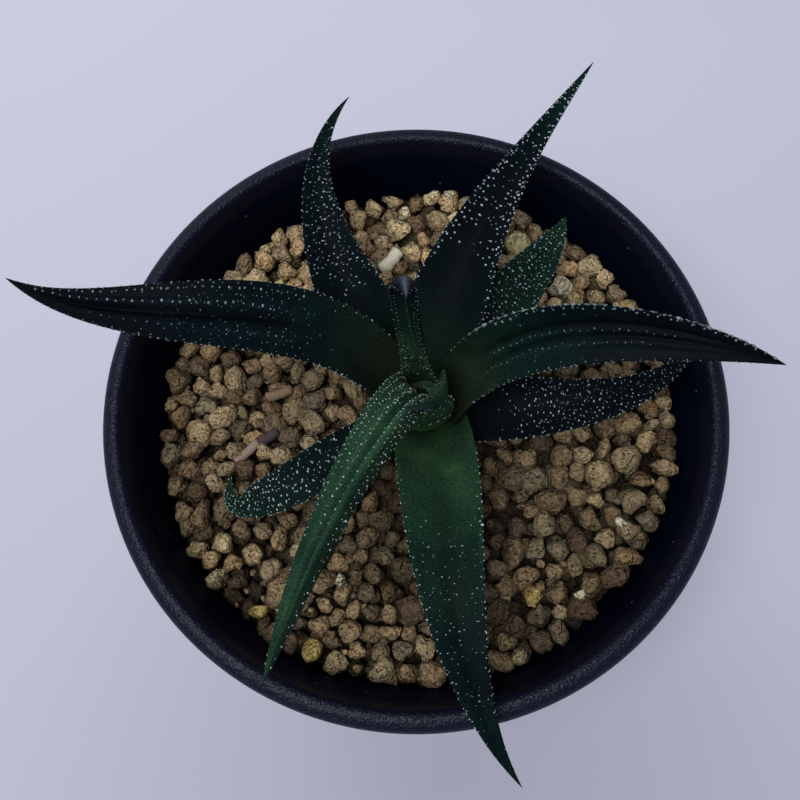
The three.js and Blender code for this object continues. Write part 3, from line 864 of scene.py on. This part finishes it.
LEAVES = [
    leaf_lists(
        "leaf_01", thick=2, margin=0.09, banded_to=0, pearl=0.6, brown=0.2, bloom=0.35, relief=[],
        path=[[3, 0, 4], [4, -0.5, 14], [5, -10, 25], [-1.5, -8, 20]],
        width=[5, 4, 2.6, 1.9, 0], channel=[0.6, 0.5, 0.3], roll=[50, 40, 120],
        green=[1.0, 1.0, 0.95, 0.7, 0.2],
        dots=(0.2, 0.6, 1.1, 0.10, 0.5),
    ),
    leaf_lists(
        "leaf_02", thick=2, margin=0.11, banded_to=0, pearl=0.7, brown=0.2, stripe=0.5, bloom=1,
        path=[[1.9, 2, 2], [1.6, 1.2, 12], [-1.5, 1, 24], [-1.2, 5.5, 40], [-0.6, 0, 38.5]],
        width=[7, 6, 1, 8, 0], channel=[0.6, 0.4, 0.3], roll=[215, 215, 195],
        green=[1.0, 1.0, 0.75, 0.35, -0.1],
        relief=[(0, 0.10, -0.18, 0.1, 0.9), (-0.25, 0.2, 0.10, 0.1, 0.9)],
        rows=[(0.05, 0.08, 0.9, 0.15, 0.75)] + both((-0.68, 0.08, 0.9, 0.1, 0.7)),
        dots=(0.08, 0.35, 0.9, 0.10, 0.7),
    ),
    leaf_lists(
        "leaf_03", thick=2.8, margin=0.17, banded_from=0.04, band_size=0.5, pearl=0.8,
        stripe=0.2, flank=0.45,
        path=[[1, -4, 0], [4, 2, 22], [-11, -20, 31], [-18, -44, 24]],
        width=[10, 8, 7, 7.5, 0], channel=[0.7, 0.1, 0.1], roll=[0, 0, 45, 30],
        green=[0.95, 0.9, 0.86, 0.74, 0.7],
        relief=[(0, 0.12, -0.35, 0.1, 0.95)] + both((0.28, 0.14, 0.32, 0.05, 0.9)),
        rows=both((0.22, 0.15, 1, 0.12, 0.72), (0.55, 0.12, 1, 0.15, 0.6), (0.8, 0.12, 0.95, 0.12, 0.75)),
        dots=(0.08, 0.5, 0.9, 0.095, 0.6),
    ),
    leaf_lists(
        "leaf_04", thick=3.2, pearl=0.4, brown=0.95,
        path=[[6, -1, -1], [12, 6, 20], [30, 3, 26], [49, -4, 26]],
        width=[9, 9.5, 10, 8.5, 0], channel=[0.4, 0.4, 0.4], roll=[0, 50, 40],
        green=[0.9, 0.62, 0.2, 0.05, 0.1],
        relief=[
            (-0.32, 0.10, -0.45, 0.15, 0.9),
            (-0.10, 0.10, 0.30, 0.15, 0.9),
            (0.12, 0.10, -0.35, 0.15, 0.9),
            (0.34, 0.12, 0.28, 0.15, 0.9),
        ],
        rows=[(-0.10, 0.12, 1.1, 0.25, 0.75), (0.34, 0.12, 1.1, 0.2, 0.7), (-0.88, 0.22, 1.3, 0.3, 0.95)],
        edge_rows=[(np.pi + 0.12, 0.42, 1.35, 0.22, 0.97), (np.pi + 0.34, 0.36, 1.5, 0.35, 0.9)],
        dots=(0.25, 0.7, 2.2, 0.09, 0.4),
    ),
    leaf_lists(
        "leaf_05", pearl=0.5, brown=0.8,
        path=[[-2, 0, -2], [-10, 9, 15], [-24.5, 7.5, 22], [-42, 1, 23.5], [-59, 11, 22]],
        width=[9, 11.5, 13.5, 7, 0], channel=[0.4, 0.35, 0.3],
        green=[0.5, 0.5, 0.15, 0.0, 0.05],
        relief=[(0, 0.12, -0.6, 0.3, 0.98), (0.36, 0.12, 0.38, 0.25, 0.95), (-0.42, 0.18, 0.2, 0.3, 0.9)],
        rows=[(0.36, 0.20, 1.25, 0.42, 0.93), (0.80, 0.17, 1.2, 0.35, 0.95), (-0.42, 0.12, 1.5, 0.4, 0.8)],
        dots=(0.25, 0.72, 1.0, 0.075, 0.7),
    ),
    leaf_lists(
        "leaf_06", pearl=0.8,
        path=[[3, -5, -4], [5.5, -22, 14], [3.5, -43, 8], [16, -59.5, -1]],
        width=[12.5, 14.2, 10, 5, 0], channel=[0.4, 0.25, 0.2],
        green=[0.93, 0.92, 0.66, -0.15, 0.66],
        relief=[(0, 0.3, -0.25, 0.1, 0.9)],
        dots=(0.28, 0.88, 1.15, 0.085, 0.6),
    ),
    leaf_lists(
        "leaf_07", pearl=1.0, brown=0.3,
        path=[[3, 3, -5], [5, 20, 12], [18, 37, 13], [31, 56, 12]],
        width=[13, 18, 4, 4, 0], channel=[0.4, 0.35, 0.3],
        green=[0.75, 0.15, -0.25, 0.38, 0.62],
        relief=[(0, 0.22, -0.15, 0.2, 0.9)],
        rows=both((0.86, 0.18, 1.2, 0.33, 0.95), (0.68, 0.19, 1.3, 0.38, 0.9)),
        dots=(0.36, 0.95, 1.1, 0.13, 0.6),
    ),
    leaf_lists(
        "leaf_08", thick=3.2, pearl=1.0,
        path=[[-1, -4, -7], [-14, -10, 4], [-32, -27, -2], [-31, -12, -6]],
        width=[8, 8, 8.5, 4, 0],
        green=[0.3, 0.3, 0.5, 0.85],
        dots=(0.15, 0.92, 0.85, 0.13, 0.9),
    ),
    leaf_lists(
        "leaf_09", pearl=0.85,
        path=[[6, -1, -8], [20, -4, 8], [42, -5, 2], [49, 13, 2]],
        width=[10, 13.5, 5.5, 3, 0],
        green=[0.3, 0.0, 0.0, 0.45],
        dots=(0.18, 0.93, 0.85, 0.10, 0.85),
    ),
    leaf_lists(
        "leaf_10", pearl=0.85, brown=0.3,
        path=[[0, 3, -10], [-15, 20, 6], [-22, 38, 8], [-11, 51, 10]],
        width=[12, 18, 3, 4, 0], channel=[0.4, 0.35, 0.3],
        green=[0.35, 0.2, 0.15, 0.5],
        dots=(0.27, 0.94, 0.95, 0.115, 0.85),
    ),
    leaf_lists(
        "leaf_11", thick=3.2, pearl=0.85, brown=0.2,
        path=[[4, 3, -11], [14, 14, 4], [24, 25, 0], [27, 33, 0]],
        width=[8, 13, 9, 6.5, 0],
        green=[0.35, 0.42, 0.65, 0.68],
        relief=[(0, 0.3, -0.2, 0.2, 0.9)],
        dots=(0.2, 0.95, 0.9, 0.12, 0.9),
    ),
]
print(len(LEAVES), "leaves, the youngest first")

# %% Leaf formulas
RIDGE_FADE = 0.15
EDGE_SQUARE = 6


def blend(values, share):
    """Bernstein blend of a list of numbers or points at each share of the way along."""
    values = np.asarray(values, float)
    last = len(values) - 1
    order = np.arange(last + 1)
    counts = np.array([math.comb(last, k) for k in order])
    weights = counts * share[..., None] ** order * (1 - share[..., None]) ** (last - order)
    return weights @ values


def leaf_axes(leaf, share):
    """Middle of the section, and the directions along the leaf, out of its face and sideways."""
    path = np.array(leaf["path"], float)
    along = unit(blend(np.diff(path, axis=0), share))
    outward = unit((path[-1] - path[0]) * [1, 1, 0])
    lifted = np.array([0, 0, 1]) - FACING_LEAN * outward
    up = unit(lifted - along * (along @ lifted)[..., None])
    roll = np.radians(blend(leaf["roll"], share))[..., None]
    up = up * np.cos(roll) + np.cross(along, up) * np.sin(roll)
    middle = blend(path, share) + [0, 0, POT_HEIGHT]
    return middle, along, up, np.cross(along, up)


def ridges(leaf, share, across):
    """Height of the lengthwise ridges and grooves of the upper face, in millimetres.

    Each is a bell curve across the leaf that fades in and out along it."""
    height = np.zeros(share.shape)
    for middle, width, rise, start, end in leaf["relief"]:
        fade = np.clip((share - start) / RIDGE_FADE, 0, 1) * np.clip((end - share) / RIDGE_FADE, 0, 1)
        height = height + rise * fade * np.exp(-(((across - middle) / width) ** 2))
    return height


def leaf_point(leaf, share, turn):
    """The point of the leaf's skin at a share of its length and an angle round its section.

    The angle runs from one margin at 0 over the upper face to the other at pi and back below.
    Its cosine is the place across the leaf. The upper face is a parabola with rounded edges. The
    lower one hangs from the same edges by a superellipse."""
    middle, along, up, side = leaf_axes(leaf, share)
    half = blend(leaf["width"], share) / 2
    trough = blend(leaf["channel"], share) * half
    thick = np.minimum(leaf["thick"] * (1 - THINNING * share), THICKEST * 2 * half)
    edge = np.minimum(MARGIN_ROUND, 0.3 * thick)
    across = np.cos(turn)
    size = np.abs(across)
    upper = trough * across**2 - edge * (1 - np.sqrt(1 - size**EDGE_SQUARE)) + ridges(leaf, share, across)
    keel = (1 - size**KEEL_SPREAD) ** KEEL_ROUND
    lower = trough * across**2 - edge - (thick - edge) * keel
    height = np.where(np.sin(turn) >= 0, upper, lower)
    return middle + side * (half * across)[..., None] + up * height[..., None]


def leaf_length(leaf):
    """Length of the leaf's path in millimetres."""
    middles = leaf_axes(leaf, np.linspace(0, 1, 60))[0]
    return np.linalg.norm(np.diff(middles, axis=0), axis=1).sum()


print("leaf lengths in mm:", [round(float(leaf_length(leaf))) for leaf in LEAVES])

# %% [markdown]
# Tubercles are small pearly domes. They stand in a close row on each margin, in rows along some
# leaves, scattered over the upper faces, and in cross bands on the lower faces, which give the
# zebra haworthia its name. Each dome is one small closed skin, sunk a little in the leaf.

# %% Tubercles
DOME_SIDES = 6
DOME_LEVELS = [(0.02, -0.5), (1.0, -0.2), (0.78, 0.38), (0.04, 0.68)]
MARGIN_SPACING = 1.15
INNER_TURN = 0.40
INNER_SIZE = 0.6
INNER_SPACING = 1.9
BAND_SPACING = 2.3
BAND_DOT_SPACING = 1.0
NUDGE = 0.004
TURN_NUDGE = 0.03
MARGIN_SPAN = (0.13, 0.97)
INNER_SPAN = (0.2, 0.9)
EDGE_WANDER = 0.05
ROW_SIZES = (0.65, 1.3)
FIELD_SIZES = (0.45, 1.55)
FIELD_REACH = 0.86
BAND_SIZES = (0.7, 1.2)


def row(random, length, turn, radius, apart, start, end, wander=0.03):
    """A lengthwise row of tubercles at one angle round the section, a little uneven."""
    count = max(2, int((end - start) * length / apart))
    share = np.linspace(start, end, count) + random.normal(0, 0.12 * apart / length, count)
    turns = turn + random.normal(0, wander, count)
    radii = radius * random.uniform(*ROW_SIZES, count)
    return np.stack([share, turns, radii, random.uniform(1.0, 1.4, count)], -1)


def field(random, leaf, dots):
    """Tubercles spread evenly over the upper face: a grid whose points are nudged and thinned."""
    length = leaf_length(leaf)
    start, end, apart, size, share_kept = dots
    lines = np.arange(start, end, 0.8 * apart / length)
    widest = max(leaf["width"])
    lanes = np.arange(-widest / 2, widest / 2, apart)
    share, place = (grid.ravel() for grid in np.meshgrid(lines, lanes, indexing="ij"))
    share = share + random.normal(0, 0.28 * apart / length, share.shape)
    place = place + random.uniform(-0.5, 0.5, share.shape) * apart
    across = place / (blend(leaf["width"], share.clip(0, 1)) / 2)
    shaded_towards_viewer = np.clip((share - start) / 0.12, 0.15, 1) * np.clip((end - share) / 0.1, 0.15, 1)
    kept = (np.abs(across) < FIELD_REACH) & (random.uniform(size=share.shape) < share_kept * shaded_towards_viewer)
    share, across = share[kept], across[kept]
    radius = size * random.uniform(*FIELD_SIZES, share.shape)
    return np.stack([share, np.arccos(across), radius, random.uniform(1.0, 2.0, share.shape)], -1)


def tubercle_places(random, leaf):
    """Share along, angle round, radius in mm and stretch of every tubercle on a leaf."""
    length = leaf_length(leaf)
    size = leaf["margin"]
    rows = [(turn, size, MARGIN_SPACING, *MARGIN_SPAN, EDGE_WANDER) for turn in (0, np.pi)]
    for turn in (INNER_TURN, np.pi - INNER_TURN):
        rows.append((turn, INNER_SIZE * size, INNER_SPACING, *INNER_SPAN, EDGE_WANDER))
    rows += leaf["edge_rows"] + [(np.arccos(across), *rest) for across, *rest in leaf["rows"]]
    found = [row(random, length, *listed) for listed in rows]
    found.append(field(random, leaf, leaf["dots"]))
    for band in np.arange(leaf["banded_from"], leaf["banded_to"], BAND_SPACING / length):
        width = blend(leaf["width"], np.array([band]))[0]
        count = max(3, int(1.15 * width / BAND_DOT_SPACING))
        turn = np.pi + np.linspace(0.3, np.pi - 0.3, count) + random.normal(0, 0.05, count)
        share = band + random.normal(0, 0.15 / length, count)
        radius = leaf["band_size"] * min(0.32, 0.045 * width) * random.uniform(*BAND_SIZES, count)
        found.append(np.stack([share, turn, radius, random.uniform(1.1, 1.8, count)], -1))
    return np.concatenate(found).T


def domes(leaf, share, turn, radius, stretch):
    """A closed dome at each place, stretched across the leaf and shrinking towards its tip."""
    at = leaf_point(leaf, share, turn)
    further = leaf_point(leaf, np.clip(share + NUDGE, 0, 1), turn)
    nearer = leaf_point(leaf, np.clip(share - NUDGE, 0, 1), turn)
    round_a = leaf_point(leaf, share, turn + TURN_NUDGE)
    round_b = leaf_point(leaf, share, turn - TURN_NUDGE)
    across = unit(round_a - round_b)
    out = unit(np.cross(across, further - nearer))
    way = np.cross(out, across)
    radius = radius * (1 - 0.3 * share)
    angle = 2 * np.pi * np.arange(DOME_SIDES) / DOME_SIDES
    rings = []
    for size, height in DOME_LEVELS:
        ring = across[:, None] * (size * stretch[:, None] * np.cos(angle))[..., None]
        ring = ring + way[:, None] * (size * np.sin(angle))[..., None] + out[:, None] * height
        rings.append(at[:, None] + ring * radius[:, None, None])
    return np.stack(rings, 1)


print("a dome has", len(DOME_LEVELS) * DOME_SIDES + 2, "points")

# %% [markdown]
# Leaf tissue is dark and slightly waxy. Five stops of one ramp hold its colours, from the
# blackish blue-green of old leaves to the fresh green at the crown. The value that picks the stop
# is kept at the mesh's points, so that it runs along each leaf as its own list says. More values
# add the brown of the base, a pale stripe along the middle, a painted grey sheen on a young tip,
# which stands for a reflection of the sky, and painted light and shade on the relief, which darkens
# grooves and the shaded side of a leaf and lifts ridges. Fine creases run across the leaf, so their
# noise is read in the leaf's own unrolled millimetres.

# %% Leaf finish
LEAF_COLOURS = [
    (0.0, (0.0016, 0.0029, 0.0048)),
    (0.3, (0.0022, 0.0064, 0.0078)),
    (0.65, (0.0062, 0.0205, 0.0128)),
    (0.9, (0.0215, 0.0570, 0.0270)),
    (1.0, (0.0400, 0.0950, 0.0330)),
]
BASE_BROWN = (0.0165, 0.0190, 0.0085)
STRIPE_GREEN = (0.0400, 0.0800, 0.0450)
# A painted grey sheen, a reflection of the sky, on young tips.
GREY_PAINTED_SHEEN = (0.066, 0.084, 0.108)
PAINTED_FOLD_TONES = [(0.0, (0.25, 0.26, 0.30)), (0.5, (1.0, 1.0, 1.0)), (1.0, (1.7, 1.7, 1.7))]
CREASE_SCALE = (2.0, 4.2, 1.0)
CREASE_TONES = [(0.32, (0.52, 0.52, 0.52)), (0.68, (1.46, 1.46, 1.46))]
PEARL_SHADE = (0.010, 0.030, 0.030)
PEARL_PATCHES = dict(Scale=900.0, Sharpness=2.0, First=(0.34, 0.42, 0.40), Second=(0.66, 0.74, 0.72))

leaf_tissue, tree, shader, place = new_material("leaf_tissue")
varied = math_node(tree, "SUBTRACT", use_group(tree, grain, place, Scale=160.0, Detail=4.0), 0.5)
varied = math_node(tree, "MULTIPLY_ADD", varied, 0.45, attribute(tree, "green"), clamp=True)
flesh = ramp(tree, varied, LEAF_COLOURS)
for name, colour in (("brown", BASE_BROWN), ("stripe", STRIPE_GREEN), ("bloom", GREY_PAINTED_SHEEN)):
    flesh = mixed(tree, attribute(tree, name), flesh, colour)
# Painted light and shade: grooves and the shaded side darker, ridges lighter.
flesh = mixed(tree, 1.0, flesh, ramp(tree, attribute(tree, "painted_fold_light"), PAINTED_FOLD_TONES), "MULTIPLY")
unrolled = {"Vector": attribute(tree, "unrolled", "Vector"), "Scale": CREASE_SCALE}
stretched = add(tree, "ShaderNodeMapping", unrolled).outputs["Vector"]
creases = use_group(tree, grain, stretched, Scale=1.0, Detail=3.0)
feed(tree, shader, {
    "Base Color": mixed(tree, 1.0, flesh, ramp(tree, creases, CREASE_TONES), "MULTIPLY"),
    "Roughness": math_node(tree, "MULTIPLY_ADD", creases, 0.3, 0.36),
    "Normal": bump(tree, creases, 0.35, 0.10),
    "Specular IOR Level": 0.03,
})

tubercle_pearl, tree, shader, place = new_material("tubercle_pearl")
pearl = use_group(tree, mottle, place, **PEARL_PATCHES)
feed(tree, shader, {
    "Base Color": mixed(tree, attribute(tree, "pearl"), PEARL_SHADE, pearl),
    "Roughness": 0.4,
    "Specular IOR Level": 0.3,
})
print("leaf finishes:", leaf_tissue.name, tubercle_pearl.name)

# %% [markdown]
# Each leaf is one piece: its skin, and all its tubercles joined to it in their own material. The
# values that the finish reads are worked out on the same grid as the points.

# %% Build the leaves
LEAF_RINGS = 130
LEAF_SIDES = 56
TIP = 0.997
BROWN_TO = 0.30
STRIPE_WIDTH = 0.07
STRIPE_TO = 0.85
# Painted sheen on a young tip: its width across and where it starts.
PAINTED_SHEEN_WIDTH = 0.5
PAINTED_SHEEN_FROM = 0.75
FADE_SPEED = 6
# Painted shade on one side of the upper face, the side turned from the light.
FLANK_SIDE = -1
FLANK_FROM = 0.3
FLANK_OVER = 0.35


def leaf_skin(leaf):
    """The rings of the leaf's points, and the values that its finish reads at each point."""
    share = np.linspace(0.0, TIP, LEAF_RINGS)[:, None].repeat(LEAF_SIDES, 1)
    turn = (2 * np.pi * np.arange(LEAF_SIDES) / LEAF_SIDES)[None].repeat(LEAF_RINGS, 0)
    across = np.cos(turn)
    upper_face = np.sin(turn) > 0
    stripe = leaf["stripe"] * np.exp(-((across / STRIPE_WIDTH) ** 2)) * upper_face
    # Painted sheen on the tip, a reflection of the sky.
    bloom = leaf["bloom"] * np.clip((share - PAINTED_SHEEN_FROM) * FADE_SPEED, 0, 1)
    # Painted shade on the side of the face turned from the light.
    flank = leaf["flank"] * np.clip((FLANK_SIDE * across - FLANK_FROM) / FLANK_OVER, 0, 1)
    half = blend(leaf["width"], share) / 2
    return leaf_point(leaf, share, turn), {
        "green": blend(leaf["green"], share),
        "brown": leaf["brown"] * np.clip(1 - share / BROWN_TO, 0, 1),
        "stripe": stripe * np.clip((STRIPE_TO - share) * FADE_SPEED, 0, 1),
        "bloom": bloom * np.exp(-((across / PAINTED_SHEEN_WIDTH) ** 2)),
        # Painted shade in grooves and on the shaded side, painted light on ridges.
        "painted_fold_light": 0.5 + (ridges(leaf, share, across) - flank) * upper_face,
        "unrolled": np.stack([half * across, leaf_length(leaf) * share, np.sign(np.sin(turn))], -1),
    }


def point_values(values, dot_points):
    """Values of every ring point, then of the two end points, and none on the tubercles."""
    flat = values.reshape(-1, *values.shape[2:])
    none = np.zeros((dot_points, *values.shape[2:]))
    return np.concatenate([flat, values[[0, -1]].mean(axis=1), none])


random = np.random.default_rng(5)
for leaf in LEAVES:
    rings, values = leaf_skin(leaf)
    dome_rings = domes(leaf, *tubercle_places(random, leaf))
    tones = leaf["pearl"] * random.uniform(0.35, 1.15, len(dome_rings))
    body = closed_skin(rings)
    dots = closed_skin(dome_rings)
    values = {name: point_values(value, len(dots[0])) for name, value in values.items()}
    dot_tones = np.repeat(tones, len(dots[0]) // len(tones))
    values["pearl"] = np.concatenate([np.zeros(len(body[0])), dot_tones])
    is_dot = np.repeat([0, 1, 0, 1], [len(body[1]), len(dots[1]), len(body[2]), len(dots[2])])
    skin = joined([body, dots])
    flesh = piece(leaf["node"] + "_flesh", skin, [leaf_tissue, tubercle_pearl], is_dot, **values)
    seat(flesh, "leaf_tissue", leaf["node"])
